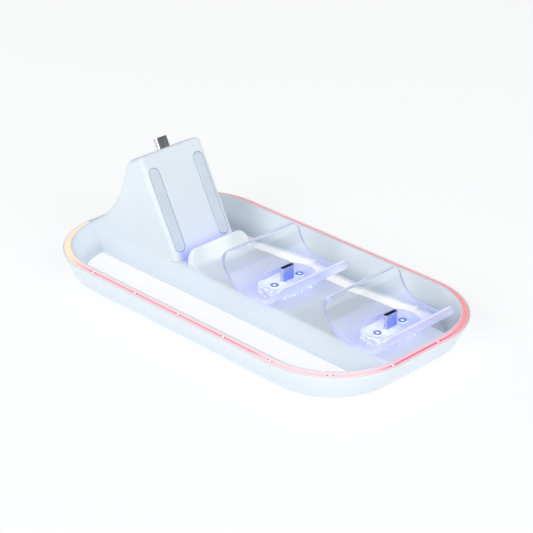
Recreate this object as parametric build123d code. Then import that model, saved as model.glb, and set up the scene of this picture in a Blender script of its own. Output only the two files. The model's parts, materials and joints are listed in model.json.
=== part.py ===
from build123d import *
import os
from math import asin, atan, cos, degrees, radians, sin, sqrt, tan

os.makedirs("parts", exist_ok=True)

# Ring band: an open rounded ring whose wall leans outwards
ring_length = 215.2          # over the outer top edge
ring_width = 116.7
ring_corner_radius = 42.0
end_overhang = 7.7           # top edge past the band's foot, at each end
side_overhang = 5.8          # top edge past the band's foot, at each long side
foot_corner_radius = 33.0
ring_height = 13.05          # from the band's foot to its outer top edge
band_thickness = 5.8         # measured level, through the slanted wall
rim_rise = 1.35              # the rim's inner edge stands this much above its outer edge
rim_bevel = 0.5              # on both edges of the rim

# Feet and base cover
foot_height = 1.0            # rubber showing under the base cover
foot_outer_margin = 1.8      # from the pad to the band's outer face, so that it hides under the wall
foot_inner_margin = 0.8
foot_pad_length = 18.0
side_foot_spacing = 112.0    # between the feet along one side
cover_thickness = 1.3
cover_step = 0.2             # the cover stands back this much at the parting line

# Bridge
bridge_top_width = 40.4
bridge_foot_width = 42.4
bridge_drop = 0.7            # deck below the rim's inner edge
bridge_edge_round = 1.5
deck_thickness = 2.2
bridge_wall = 2.2
bridge_end_wall = 2.4        # at the band's foot

# Riser with its leaning backrest
riser_back_inset = 1.2       # from the ring's end to where the back's sweep leaves the rim
riser_sweep_radius = 52.2
riser_sweep_start = 24.8     # slope of the sweep at the rim, degrees
riser_sweep_end = 70.0       # slope of the sweep at the straight back, degrees
riser_wall = 2.4
riser_sink = 1.5             # how deep the riser stands in the bridge
riser_back_round = 6.0
riser_side_round = 3.0
panel_foot_inset = 69.5      # from the ring's end to the backrest's foot
panel_tilt = 27.9            # from upright, degrees
panel_length = 55.1
panel_thickness = 3.0
panel_edge_round = 1.8
panel_seat_gap = 0.1
passage_land = 0.7           # deck left behind the backrest's foot

# Rubber grip strips in the backrest
strip_width = 6.0
strip_side = 5.4             # from the backrest's side to the strip's middle line
strip_foot = 4.2             # up the backrest from its foot
strip_head = 7.4             # down the backrest from its head
strip_thickness = 1.3
strip_proud = 0.3
strip_gap = 0.3

# Lip before the backrest's foot, and the light bar in the gap between them
seat_gap = 6.9               # from the backrest's foot to the lip
lip_thickness = 2.4
lip_height = 8.8
lip_ramp_radius = 9.0
lip_corner_round = 5.2
lip_edge_round = 0.9
seat_light_width = 3.0
seat_light_length = 28.0
seat_light_flange = 0.8      # thickness and overhang of the bar's flange
seat_lamp_spacing = 9.0

# Light strip in the rim
channel_width = 3.4
channel_depth = 5.4
channel_slant = 27.0         # the channel follows the band's lean, degrees
guide_side_gap = 0.1
guide_recess = 0.3
guide_height = 3.4
strip_end_gap = 0.6          # from the riser's side to the channel's end
guide_end_gap = 0.2
tape_thickness = 0.35
ring_led_pitch = 30.7
ring_led_start = 2.0         # first lamp from the strip's near end
ring_led_size = 2.2
ring_led_height = 0.9
ring_led_lift = 0.05

# Cradles
cradle_end_inset = 22.4      # from the ring's end to the last plug
cradle_pitch = 66.5
cradle_width = 51.0
cradle_thickness = 2.0
cradle_ledge = 0.7           # sheet that rests on the pedestal, round its opening
cradle_flat_back = 2.0       # flat length behind the plug
cradle_flat_front = 9.0      # flat length before the plug
cradle_back_radius = 15.0
cradle_back_upright = 0.4
cradle_lip_radius = 7.0
cradle_corner_round = 5.0
cradle_edge_round = 0.6

# Pedestals under the cradles
pedestal_width = 16.8
pedestal_length = 32.6
pedestal_height = 3.9
pedestal_floor = 1.2         # solid floor over the light pipes
pipe_width = 3.0
pipe_length = 10.0
pipe_lamp_gap = 0.5
window_gap = 0.2
deck_web = 1.2               # deck left between the plug's hole and a light pipe's

# Cradle screws
screw_spacing = 17.2
screw_head_radius = 2.0
screw_head_height = 1.2
screw_head_proud = 0.6       # above the pedestal's top
screw_socket_radius = 0.9
screw_socket_depth = 0.7
screw_radius = 1.0
screw_bite = 2.5             # thread below the deck
screw_gap = 0.2
thread_gap = 0.05
boss_radius = 2.6
boss_floor = 1.2

# Plugs, a standard small oval form
plug_width = 8.25
plug_thickness = 2.4
plug_shell_wall = 0.3
plug_reach = 5.6             # above the cradle
plug_seat = 4.0              # shell length held in the neck
plug_slot_gap = 0.3
mouth_width = 6.7
mouth_thickness = 1.0
mouth_depth = 5.0
fit_gap = 0.05
neck_width = 11.0
neck_thickness = 4.4
neck_proud = 0.5             # above the pedestal's top

# Riser plug and its board
riser_plug_reach = 5.8
riser_plug_inside = 8.2      # shell length below the riser's head
riser_slot_web = 0.8         # head left between the backrest and the plug's slot
riser_board_width = 26.0
riser_board_length = 24.0
riser_board_thickness = 1.2
riser_board_overlap = 4.0    # plug length that lies on the board
riser_post_radius = 2.4
riser_post_spacing = 18.0
riser_post_rise = 5.0        # posts up from the board's lower edge
ribbon_width = 10.0
ribbon_thickness = 0.3

# Main board and power socket
board_side_gap = 0.9         # from the board to the base screws' bosses
board_end_gap = 2.5
board_thickness = 1.6
board_post_height = 3.0
board_post_radius = 2.3
board_post_spacing_y = 15.0
board_post_end = 15.0        # from the board's riser end to its first posts
board_screw_radius = 0.8
board_screw_head_radius = 1.7
board_screw_head_height = 1.1
board_screw_depth = 2.4
glow_led_size = 2.6
glow_led_height = 1.0
glow_led_spacing = 5.0
inlet_width = 8.94
inlet_thickness = 3.26
inlet_length = 8.4
inlet_wall = 0.3
inlet_on_board = 3.0
inlet_gap = 0.2
inlet_back = 2.0
tongue_width = 6.7
tongue_thickness = 0.7
tongue_length = 5.2

# Base screws
base_screw_riser_end = 15.9  # from the band's foot at the riser's end to the first pair
base_screw_free_end = 8.9    # from the band's foot at the free end to the last pair
base_screw_radius = 1.1
base_screw_length = 8.0
base_screw_end_gap = 1.0     # hole left past the screw's end
base_screw_head_radius = 2.2
base_screw_head_height = 0.8
base_boss_radius = 3.0
base_boss_bite = 0.4         # how far a boss runs into the bridge's side wall

# Help for cutting and picking
cut_over = 1.0               # a cutting shape runs on this far past a face
far = 300.0                  # reach of a cutting block, well past the part
close = 0.01                 # what counts as lying on a face

# Levels worked out from the sizes above
band_foot_z = foot_height
band_top_z = band_foot_z + ring_height
rim_inner_z = band_top_z + rim_rise
seam_z = band_foot_z + cover_thickness
bridge_top_z = rim_inner_z - bridge_drop
deck_low_z = bridge_top_z - deck_thickness
board_low_z = seam_z + board_post_height
board_top_z = board_low_z + board_thickness
pipe_low_z = board_top_z + glow_led_height + pipe_lamp_gap
pedestal_top_z = bridge_top_z + pedestal_height
cradle_top_z = pedestal_top_z + cradle_thickness
screw_top_z = pedestal_top_z + screw_head_proud
screw_head_z = screw_top_z - screw_head_height
screw_end_z = deck_low_z - screw_bite
plug_tip_z = cradle_top_z + plug_reach
neck_top_z = pedestal_top_z + neck_proud

# Places and lengths worked out from the sizes above
foot_length = ring_length - 2 * end_overhang
foot_width = ring_width - 2 * side_overhang
foot_pad_width = band_thickness - foot_outer_margin - foot_inner_margin
rim_width = band_thickness - rim_rise * end_overhang / ring_height
rim_slope = rim_rise / rim_width
deck_flat_width = bridge_top_width - 2 * bridge_edge_round
cavity_length = foot_length - 2 * bridge_end_wall
cavity_half = bridge_top_width / 2 - bridge_wall
riser_half = bridge_top_width / 2
riser_back_x = riser_back_inset - ring_length / 2
panel_foot_x = panel_foot_inset - ring_length / 2
lean = radians(panel_tilt)
panel_foot = (panel_foot_x, 0, bridge_top_z)
panel_plane = Plane(origin=panel_foot, x_dir=(0, 1, 0), z_dir=(cos(lean), 0, sin(lean)))
passage_front_x = panel_foot_x - panel_thickness / cos(lean) - passage_land
strip_length = panel_length - strip_foot - strip_head
strip_spacing = bridge_top_width - 2 * strip_side
lip_back_x = panel_foot_x + seat_gap
seat_light_x = panel_foot_x + seat_gap / 2
plug_x_two = ring_length / 2 - cradle_end_inset
plug_x_one = plug_x_two - cradle_pitch
plugs_x = (plug_x_one, plug_x_two)
between_plugs_x = (plug_x_one + plug_x_two) / 2
neck_hole_width = neck_width + 2 * window_gap
neck_hole_thickness = neck_thickness + 2 * window_gap
pipe_offset = neck_hole_thickness / 2 + deck_web + window_gap + pipe_width / 2
middle_screws_x = (seat_light_x + plug_x_one - pipe_offset) / 2
plug_length = plug_reach + cradle_thickness - neck_proud + plug_seat
riser_plug_length = riser_plug_reach + riser_plug_inside
riser_plug_setback = panel_thickness + riser_slot_web + plug_slot_gap + plug_thickness / 2
riser_board_setback = riser_plug_setback + plug_thickness / 2 + riser_board_thickness / 2
riser_board_foot = panel_length - riser_plug_inside + riser_board_overlap - riser_board_length
base_screw_y = cavity_half - base_boss_radius + base_boss_bite
board_width = 2 * (base_screw_y - base_boss_radius - board_side_gap)
board_length = cavity_length - 2 * board_end_gap


def band_outline(z, offset):
    """Outline of the slanted band at a height, moved level outwards by an offset."""
    share = (z - band_foot_z) / ring_height
    length = foot_length + 2 * end_overhang * share + 2 * offset
    width = foot_width + 2 * side_overhang * share + 2 * offset
    radius = foot_corner_radius + (ring_corner_radius - foot_corner_radius) * share + offset
    return Pos(0, 0, z) * RectangleRounded(length, width, radius)


def band_block(low, high, offset):
    """Solid block inside the band's slanted surface, from one height to another."""
    return loft([band_outline(low, offset), band_outline(high, offset)], ruled=True)


def rim_outline(inward):
    """Outline on the rim's tilted top, a level distance in from the band's outer surface."""
    return band_outline(band_top_z + rim_rise * inward / band_thickness, -inward)


def rim_block():
    """The band's filled volume: slanted sides, bevelled outer edge, and the rim's tilt as its top."""
    shoulder = band_outline(band_top_z - rim_bevel, 0)
    bevel = loft([shoulder, rim_outline(rim_bevel)], ruled=True)
    top = loft([rim_outline(rim_bevel), rim_outline(band_thickness + cut_over)], ruled=True)
    return band_block(band_foot_z, band_top_z - rim_bevel, 0) + bevel + top


def rim_opening():
    """The space inside the ring, flared at the top to bevel the rim's inner edge."""
    flare_z = rim_inner_z - rim_bevel
    flare_rise = rim_bevel * (1 - rim_rise / band_thickness)
    past = 3                     # bevels that the flare runs on for
    flare_top = band_outline(flare_z + past * flare_rise, past * rim_bevel - band_thickness)
    flare = loft([band_outline(flare_z, -band_thickness), flare_top], ruled=True)
    return band_block(band_foot_z - cut_over, flare_z, -band_thickness) + flare


def ring_band():
    """The open ring, with its rim's two edges bevelled."""
    return rim_block() - rim_opening()


def bridge_bar():
    """The bridge, its sides drafted and its long top edges rounded, ending inside the band."""
    low = bridge_foot_width / 2
    high = bridge_top_width / 2
    corners = [(-low, band_foot_z), (low, band_foot_z), (high, bridge_top_z), (-high, bridge_top_z)]
    bar = extrude(Plane.YZ * Polygon(*corners, align=None), amount=far / 2, both=True)
    top_edges = bar.edges().filter_by(Axis.X).group_by(Axis.Z)[-1]
    return fillet(top_edges, bridge_edge_round) & band_block(band_foot_z, bridge_top_z, -band_thickness / 2)


def riser_profile():
    """Side view of the riser: swept back, rounded head and leaning front."""
    start = radians(riser_sweep_start)
    end = radians(riser_sweep_end)
    rim_z = band_top_z + rim_rise * riser_back_inset / band_thickness
    centre_x = riser_back_x - riser_sweep_radius * sin(start)
    centre_z = rim_z + riser_sweep_radius * cos(start)
    sweep_points = []
    for angle in (start, (start + end) / 2, end):
        point = (centre_x + riser_sweep_radius * sin(angle), centre_z - riser_sweep_radius * cos(angle))
        sweep_points.append(point)
    # The straight back meets the head, which stands square to the backrest
    top_front = (panel_foot_x - panel_length * sin(lean), bridge_top_z + panel_length * cos(lean))
    back_x, back_z = sweep_points[-1]
    rise = (top_front[1] - back_z) * cos(lean) - (top_front[0] - back_x) * sin(lean)
    climb = rise / (sin(end) * cos(lean) - cos(end) * sin(lean))
    top_back = (back_x + climb * cos(end), back_z + climb * sin(end))
    low_z = bridge_top_z - riser_sink
    front_low = (panel_foot_x + riser_sink * tan(lean), low_z)
    with BuildSketch() as side:
        with BuildLine():
            ThreePointArc(*sweep_points)
            Polyline(sweep_points[-1], top_back, top_front, front_low, (riser_back_x, low_z), sweep_points[0])
        make_face()
        fillet(side.vertices().sort_by_distance(top_back)[0], riser_back_round)
    return side.sketch


def on_backrest(point):
    """Whether a point lies on the backrest's face."""
    return abs(panel_plane.to_local_coords(point).Z) < close


def riser_block():
    """The whole riser with its rounded edges, before the backrest is split off."""
    block = extrude(Plane.XZ * riser_profile(), amount=riser_half, both=True)
    sides = block.faces().filter_by(lambda f: abs(abs(f.center().Y) - riser_half) < close)
    above_deck = sides.edges().filter_by(lambda e: e.center().Z > bridge_top_z)
    block = fillet(above_deck.filter_by(lambda e: not on_backrest(e.center())), riser_side_round)
    flats = block.faces().filter_by(GeomType.PLANE)
    front = flats.sort_by(lambda f: f.normal_at().dot(panel_plane.z_dir))[-1]
    return fillet(front.edges().filter_by(lambda e: e.center().Z > bridge_top_z), panel_edge_round)


def panel_slab(depth, front):
    """Wide block parallel to the backrest, from a depth behind its face to a distance before it."""
    return panel_plane * Pos(0, 0, (front - depth) / 2) * Box(far, far, front + depth)


def upright(radius, low, high):
    """Cylinder about Z between two heights."""
    return Pos(0, 0, low) * Cylinder(radius, high - low, align=(Align.CENTER, Align.CENTER, Align.MIN))


def block_between(x, y, low, high):
    """Block about Z of a size along X and Y, between two heights."""
    return Pos(0, 0, low) * Box(x, y, high - low, align=(Align.CENTER, Align.CENTER, Align.MIN))


def racetrack(length, width, low, high):
    """Upright block with round ends, long across the dock, between two heights."""
    return Pos(0, 0, low) * extrude(Rot(0, 0, 90) * SlotOverall(length, width), high - low)


def oval(width, thickness, length):
    """Round-sided oval bar of a plug or socket, from its own plane upwards."""
    return extrude(SlotOverall(width, thickness), length)


def corner_tool(radius, length):
    """Cuts a square corner to a round one; the corner is at the origin and the tool runs along X."""
    middle = (cut_over - radius) / 2
    block = Pos(0, middle, middle) * Box(length, radius + cut_over, radius + cut_over)
    return block - Pos(0, -radius, -radius) * Rot(0, 90, 0) * Cylinder(radius, length + cut_over)


def round_corners(shape, x, length, half_width, top, radius):
    """Rounds the two upper corners of an upright sheet that runs across the dock."""
    tool = Pos(x, half_width, top) * corner_tool(radius, length)
    return shape - tool - mirror(tool, Plane.XZ)


def lip():
    """White tongue before the backrest's foot: upright back, rounded top, hollow ramp to the deck."""
    top_z = bridge_top_z + lip_height
    low_z = bridge_top_z - riser_sink
    front_x = lip_back_x + lip_thickness
    drop = lip_ramp_radius - lip_height
    centre_x = front_x + sqrt(lip_ramp_radius ** 2 - drop ** 2)
    centre_z = bridge_top_z + lip_ramp_radius
    halfway = radians(45)
    arc_middle = (centre_x - lip_ramp_radius * sin(halfway), centre_z - lip_ramp_radius * cos(halfway))
    foot = (centre_x, bridge_top_z)
    with BuildSketch() as side:
        with BuildLine():
            Polyline((front_x, top_z), (lip_back_x, top_z), (lip_back_x, low_z), (centre_x, low_z), foot)
            ThreePointArc(foot, arc_middle, (front_x, top_z))
        make_face()
    tongue = extrude(Plane.XZ * side.sketch, amount=deck_flat_width / 2, both=True)
    tongue = fillet(tongue.edges().filter_by(Axis.Y).group_by(Axis.Z)[-1], lip_edge_round)
    tool_length = 4 * lip_ramp_radius
    return round_corners(tongue, lip_back_x, tool_length, deck_flat_width / 2, top_z, lip_corner_round)


def strip_path():
    """Middle line of the rim, open at the riser, from its near side round to its far side."""
    inset = rim_width / 2
    half_length = ring_length / 2 - inset
    half_width = ring_width / 2 - inset
    radius = ring_corner_radius - inset
    z = band_top_z + rim_rise / 2
    x = half_length - radius
    y = half_width - radius
    turn = degrees(asin((riser_half + strip_end_gap - y) / radius))
    with BuildLine() as line:
        CenterArc((-x, -y, z), radius, 180 + turn, 90 - turn)
        Line((-x, -half_width, z), (x, -half_width, z))
        CenterArc((x, -y, z), radius, 270, 90)
        Line((half_length, -y, z), (half_length, y, z))
        CenterArc((x, y, z), radius, 0, 90)
        Line((x, half_width, z), (-x, half_width, z))
        CenterArc((-x, y, z), radius, 90, 90 - turn)
    return line.wire()


def channel_sweep(width, top, bottom):
    """Band along the rim between two depths below its surface, leaning with the wall."""
    path = strip_path()
    ahead = path % 0
    plane = Plane(origin=path @ 0, x_dir=ahead.cross(Vector(0, 0, 1)), z_dir=ahead)
    slant = tan(radians(channel_slant))
    half = width / 2
    edge = half * rim_slope
    corners = [(half - top * slant, -edge - top), (half - bottom * slant, -edge - bottom),
               (-half - bottom * slant, edge - bottom), (-half - top * slant, edge - top)]
    # The section's second axis points up or down with the path's sense, so it is taken from the plane
    up = 1 if plane.y_dir.Z > 0 else -1
    section = plane * make_face(Polyline(*[(a, up * b) for a, b in corners], close=True))
    return sweep(section, path=path)


def trim_ends(bar):
    """Shortens a bar of the rim so that its ends stand clear of the channel's ends."""
    half = riser_half + strip_end_gap + guide_end_gap
    return bar - Pos(-far / 2, 0, 0) * Box(far, 2 * half, far)


def ring_lamp_places():
    """Points along the rim where the lamps sit, with the path's direction at each."""
    path = strip_path()
    count = int((path.length - 2 * ring_led_start) / ring_led_pitch) + 1
    shares = [(ring_led_start + i * ring_led_pitch) / path.length for i in range(count)]
    return [(path @ share, path % share) for share in shares]


def cradle_screw_places(plug_x):
    """Where the two screws of a cradle stand."""
    return [Pos(plug_x, side * screw_spacing / 2, 0) for side in (-1, 1)]


def base_screw_places():
    """Where the base cover's screws stand, along both sides of the bridge."""
    half = foot_length / 2
    along = (base_screw_riser_end - half, middle_screws_x, half - base_screw_free_end)
    return [Pos(x, side * base_screw_y, 0) for x in along for side in (-1, 1)]


def board_post_places():
    """Where the main board's posts stand."""
    along = (board_post_end - board_length / 2, middle_screws_x, between_plugs_x)
    return [Pos(x, side * board_post_spacing_y / 2, 0) for x in along for side in (-1, 1)]


def foot_places():
    """Feet under both long sides and both ends of the ring."""
    inset = foot_outer_margin + foot_pad_width / 2
    side_y = foot_width / 2 - inset
    end_x = foot_length / 2 - inset
    half = side_foot_spacing / 2
    sides = [Pos(along * half, across * side_y, 0) for along in (-1, 1) for across in (-1, 1)]
    ends = [Pos(along * end_x, 0, 0) * Rot(0, 0, 90) for along in (-1, 1)]
    return sides + ends


def foot_pad():
    """Rubber pad with round ends, stuck under the base cover."""
    return extrude(SlotOverall(foot_pad_length, foot_pad_width), foot_height)


def cradle_plug_place(plug_x):
    """Plane at a cradle plug's tip, its third axis pointing down."""
    return Plane(origin=(plug_x, 0, plug_tip_z), x_dir=(0, 1, 0), z_dir=(0, 0, -1))


def riser_plug_place():
    """Plane at the top plug's tip, its third axis pointing down the plug."""
    tip = panel_plane * Pos(0, panel_length + riser_plug_reach, -riser_plug_setback)
    return Plane(origin=tip.position, x_dir=(0, 1, 0), z_dir=-panel_plane.y_dir)


def riser_board_spot(up, back):
    """Place on the riser board: up from its lower edge, and back from its middle plane."""
    return panel_plane * Pos(0, riser_board_foot + up, -riser_board_setback - back)


def inlet_place():
    """Mouth of the power socket, in the end wall behind the riser."""
    mouth_x = inlet_on_board - inlet_length - board_length / 2
    middle_z = board_top_z + inlet_thickness / 2
    return Plane(origin=(mouth_x, 0, middle_z), x_dir=(0, 1, 0), z_dir=(1, 0, 0))


def housing_hollows(riser, bar):
    """Space under the deck, space in the riser, and the passage between them."""
    under_deck = block_between(cavity_length, 2 * cavity_half, band_foot_z, deck_low_z)
    back_x = -cavity_length / 2
    passage = block_between(passage_front_x - back_x, 2 * cavity_half, deck_low_z - cut_over,
                            bridge_top_z + riser_wall)
    passage = Pos((back_x + passage_front_x) / 2, 0, 0) * passage
    inner = offset(riser_profile(), -riser_wall)
    in_riser = extrude(Plane.XZ * inner, amount=riser_half - riser_wall, both=True)
    return under_deck + (passage & (riser + bar)) + in_riser


def cradle_openings(plug_x):
    """Holes in the deck for a cradle's plug neck, light pipes and screws."""
    low = deck_low_z - cut_over
    high = bridge_top_z + cut_over
    cuts = block_between(neck_hole_thickness, neck_hole_width, low, high)
    window = block_between(pipe_width + 2 * window_gap, pipe_length + 2 * window_gap, low, high)
    for side in (-1, 1):
        cuts += Pos(side * pipe_offset, 0, 0) * window
    for place in cradle_screw_places(0):
        cuts += place * upright(screw_radius + thread_gap, screw_end_z - screw_gap, high)
    return Pos(plug_x, 0, 0) * cuts


def seat_light_shape(gap):
    """Light bar with its flange, grown by a gap all round for its opening in the deck."""
    length = seat_light_length + 2 * gap
    width = seat_light_width + 2 * gap
    over = 2 * seat_light_flange
    flange = racetrack(length + over, width + over, bridge_top_z - seat_light_flange, bridge_top_z)
    stem = racetrack(length, width, pipe_low_z, bridge_top_z)
    return Pos(seat_light_x, 0, 0) * (flange + stem)


def housing():
    """Ring, bridge, riser back and lip in one moulding, hollow under the deck and in the riser."""
    bar = bridge_bar()
    riser = riser_block()
    body = ring_band() + bar + (riser - panel_slab(panel_thickness, far / 2)) + lip()
    shell = body - housing_hollows(riser, bar)
    # Posts for the riser board, and bosses for the base and cradle screws
    post = Cylinder(riser_post_radius, far / 4, align=(Align.CENTER, Align.CENTER, Align.MAX))
    post_foot = riser_board_spot(riser_post_rise, riser_board_thickness / 2)
    for side in (-1, 1):
        shell += (post_foot * Pos(side * riser_post_spacing / 2, 0, 0) * post) & riser
    for place in base_screw_places():
        pillar = place * upright(base_boss_radius, seam_z, deck_low_z + deck_thickness / 2)
        hole = place * upright(base_screw_radius + thread_gap, 0, seam_z + base_screw_length)
        shell = shell + (pillar & bar) - hole
    for plug_x in plugs_x:
        for place in cradle_screw_places(plug_x):
            shell += place * upright(boss_radius, screw_end_z - screw_gap - boss_floor, deck_low_z)
        shell -= cradle_openings(plug_x)
    # Openings for the plugs and the lights
    slot_width = plug_width + 2 * plug_slot_gap
    slot_thickness = plug_thickness + 2 * plug_slot_gap
    shell -= riser_plug_place() * oval(slot_width, slot_thickness, riser_plug_length)
    inlet_hole = oval(inlet_width + 2 * inlet_gap, inlet_thickness + 2 * inlet_gap, 3 * inlet_length)
    shell -= inlet_place() * Pos(0, 0, -inlet_length) * inlet_hole
    shell -= seat_light_shape(window_gap)
    shell -= channel_sweep(channel_width, -rim_rise, channel_depth)
    return shell & block_between(far, far, seam_z, far)


def base_cover():
    """Plate that closes the ring and the bridge from below, with posts for the main board."""
    outline = band_block(band_foot_z, band_top_z, -cover_step)
    plate = outline - band_block(band_foot_z - cut_over, band_top_z + cut_over, cover_step - band_thickness)
    plate = (plate + bridge_bar()) & block_between(far, far, band_foot_z, seam_z)
    for place in board_post_places():
        post = place * upright(board_post_radius, seam_z - cover_thickness / 2, board_low_z)
        thread = upright(board_screw_radius + thread_gap, board_low_z - board_screw_depth, board_top_z)
        plate = plate + post - place * thread
    for place in base_screw_places():
        shank = place * upright(base_screw_radius + screw_gap, 0, far)
        seat = place * upright(base_screw_head_radius + screw_gap, 0, band_foot_z + base_screw_head_height)
        plate = plate - shank - seat
    return plate


def strip_shape(side, width, length, height):
    """Round-ended bar along the backrest, standing on its pocket's floor."""
    floor = strip_proud - strip_thickness
    place = panel_plane * Pos(side * strip_spacing / 2, strip_foot + strip_length / 2, floor)
    return place * extrude(Rot(0, 0, 90) * SlotOverall(length, width), height)


def backrest_panel():
    """Leaning front of the riser, with two pockets for the rubber strips."""
    panel = riser_block() & panel_slab(panel_thickness, far / 2)
    panel = panel & block_between(far, far, bridge_top_z + panel_seat_gap, far)
    pocket_width = strip_width + 2 * strip_gap
    pocket_length = strip_length + 2 * strip_gap
    for side in (-1, 1):
        panel -= strip_shape(side, pocket_width, pocket_length, strip_thickness + cut_over)
    return panel


def grip_strip(side):
    """Rubber strip with a bevelled top edge."""
    bar = strip_shape(side, strip_width, strip_length, strip_thickness)
    top = bar.faces().sort_by(lambda f: f.normal_at().dot(panel_plane.z_dir))[-1]
    return chamfer(top.edges(), strip_proud)


def light_guide():
    """Translucent bar in the rim's channel."""
    width = channel_width - 2 * guide_side_gap
    return trim_ends(channel_sweep(width, guide_recess, guide_recess + guide_height))


def led_tape():
    """Flexible tape on the floor of the rim's channel."""
    width = channel_width - 2 * guide_side_gap
    return trim_ends(channel_sweep(width, channel_depth - tape_thickness, channel_depth))


def ring_leds():
    """Lamps on the tape, under the light guide."""
    depth = channel_depth - tape_thickness
    sideways = depth * tan(radians(channel_slant))
    tilt = degrees(atan(rim_slope))
    body = block_between(ring_led_size, ring_led_size, 0, ring_led_height)
    lamps = []
    for point, ahead in ring_lamp_places():
        inward = Vector(0, 0, 1).cross(ahead)
        foot = point + inward * sideways + Vector(0, 0, ring_led_lift - depth)
        lamps.append(Plane(origin=foot, x_dir=ahead, z_dir=(0, 0, 1)) * Rot(tilt, 0, 0) * body)
    return Compound(lamps)


def cradle_profile():
    """Side view of a cradle's sheet about its plug."""
    back = -cradle_flat_back
    front = cradle_flat_front
    inner_back = cradle_back_radius
    inner_lip = cradle_lip_radius
    outer_back = cradle_back_radius + cradle_thickness
    outer_lip = cradle_lip_radius + cradle_thickness
    back_z = cradle_top_z + cradle_back_radius
    rim_z = back_z + cradle_back_upright
    lip_z = cradle_top_z + cradle_lip_radius
    with BuildSketch() as side:
        with BuildLine():
            Line((back - inner_back, rim_z), (back - inner_back, back_z))
            CenterArc((back, back_z), inner_back, 180, 90)
            Line((back, cradle_top_z), (front, cradle_top_z))
            CenterArc((front, lip_z), inner_lip, 270, 90)
            Line((front + inner_lip, lip_z), (front + outer_lip, lip_z))
            CenterArc((front, lip_z), outer_lip, 270, 90)
            Line((front, pedestal_top_z), (back, pedestal_top_z))
            CenterArc((back, back_z), outer_back, 180, 90)
            Line((back - outer_back, back_z), (back - outer_back, rim_z))
            Line((back - outer_back, rim_z), (back - inner_back, rim_z))
        make_face()
    return side.sketch


def cradle(plug_x):
    """Clear sheet: flat seat with a round-ended opening, high swept back and short swept lip."""
    half = cradle_width / 2
    rim_z = cradle_top_z + cradle_back_radius + cradle_back_upright
    lip_z = cradle_top_z + cradle_lip_radius
    back_x = -cradle_flat_back - cradle_back_radius
    front_x = cradle_flat_front + cradle_lip_radius
    sheet = extrude(Plane.XZ * cradle_profile(), amount=half, both=True)
    across = sheet.edges().filter_by(Axis.Y)
    tops = across.filter_by(lambda e: min(abs(e.center().Z - rim_z), abs(e.center().Z - lip_z)) < close)
    sheet = fillet(tops, cradle_edge_round)
    sheet = round_corners(sheet, back_x, cradle_back_radius, half, rim_z, cradle_corner_round)
    sheet = round_corners(sheet, front_x, 2 * cradle_lip_radius, half, lip_z, cradle_corner_round)
    ledge = 2 * cradle_ledge
    opening = racetrack(pedestal_length - ledge, pedestal_width - ledge, pedestal_top_z - cut_over, rim_z)
    return Pos(plug_x, 0, 0) * (sheet - opening)


def pedestal(plug_x):
    """Round-ended block under a cradle, with two light pipes that reach down through the deck."""
    body = racetrack(pedestal_length, pedestal_width, bridge_top_z, pedestal_top_z)
    pipe = block_between(pipe_width, pipe_length, pipe_low_z, bridge_top_z + pedestal_floor)
    for side in (-1, 1):
        body += Pos(side * pipe_offset, 0, 0) * pipe
    body -= racetrack(neck_hole_width, neck_hole_thickness, 0, cradle_top_z)
    for place in cradle_screw_places(0):
        body -= place * upright(screw_radius + screw_gap, 0, cradle_top_z)
        body -= place * upright(screw_head_radius + screw_gap, screw_head_z, cradle_top_z)
    return Pos(plug_x, 0, 0) * body


def cradle_screws():
    """Ring-headed screws through the pedestals into the deck's bosses, inside the cradles' openings."""
    screw = upright(screw_head_radius, screw_head_z, screw_top_z)
    screw += upright(screw_radius, screw_end_z, screw_head_z)
    screw -= upright(screw_socket_radius, screw_top_z - screw_socket_depth, screw_top_z + cut_over)
    return Compound([place * screw for x in plugs_x for place in cradle_screw_places(x)])


def plug_shell(length):
    """Thin oval tube of a plug, from its tip down its third axis."""
    inside = oval(plug_width - 2 * plug_shell_wall, plug_thickness - 2 * plug_shell_wall, 2 * length)
    return oval(plug_width, plug_thickness, length) - Pos(0, 0, -length / 2) * inside


def plug_core(length):
    """Insulator that fills a plug's shell, with the mouth's slot in its end."""
    wall = plug_shell_wall + fit_gap
    core = oval(plug_width - 2 * wall, plug_thickness - 2 * wall, length - 2 * wall)
    mouth = extrude(Rectangle(mouth_width, mouth_thickness), 2 * mouth_depth)
    return Pos(0, 0, wall) * (core - Pos(0, 0, -mouth_depth) * mouth)


def plug_neck(plug_x):
    """Plastic neck on the main board that holds a cradle's plug upright."""
    neck = Pos(plug_x, 0, 0) * racetrack(neck_width, neck_thickness, board_top_z, neck_top_z)
    pocket = oval(plug_width + 2 * fit_gap, plug_thickness + 2 * fit_gap, plug_length)
    return neck - cradle_plug_place(plug_x) * pocket


def main_board():
    """Circuit board along the bridge, with holes over its posts."""
    board = block_between(board_length, board_width, board_low_z, board_top_z)
    for place in board_post_places():
        board -= place * upright(board_screw_radius + screw_gap, seam_z, board_top_z + cut_over)
    return board


def board_screws():
    """Screws through the main board into the base cover's posts."""
    screw = upright(board_screw_head_radius, board_top_z, board_top_z + board_screw_head_height)
    screw += upright(board_screw_radius, board_low_z - board_screw_depth + screw_gap, board_top_z)
    return Compound([place * screw for place in board_post_places()])


def glow_leds():
    """Lamps on the main board, under the pedestals' light pipes and under the seat's light bar."""
    lamp = block_between(glow_led_size, glow_led_size, board_top_z, board_top_z + glow_led_height)
    places = [Pos(seat_light_x, i * seat_lamp_spacing, 0) for i in (-1, 0, 1)]
    for plug_x in plugs_x:
        for a in (-1, 1):
            places += [Pos(plug_x + a * pipe_offset, b * glow_led_spacing / 2, 0) for b in (-1, 1)]
    return Compound([place * lamp for place in places])


def riser_board():
    """Small board behind the backrest, parallel to it."""
    board = Box(riser_board_width, riser_board_length, riser_board_thickness)
    return riser_board_spot(riser_board_length / 2, 0) * board


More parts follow.
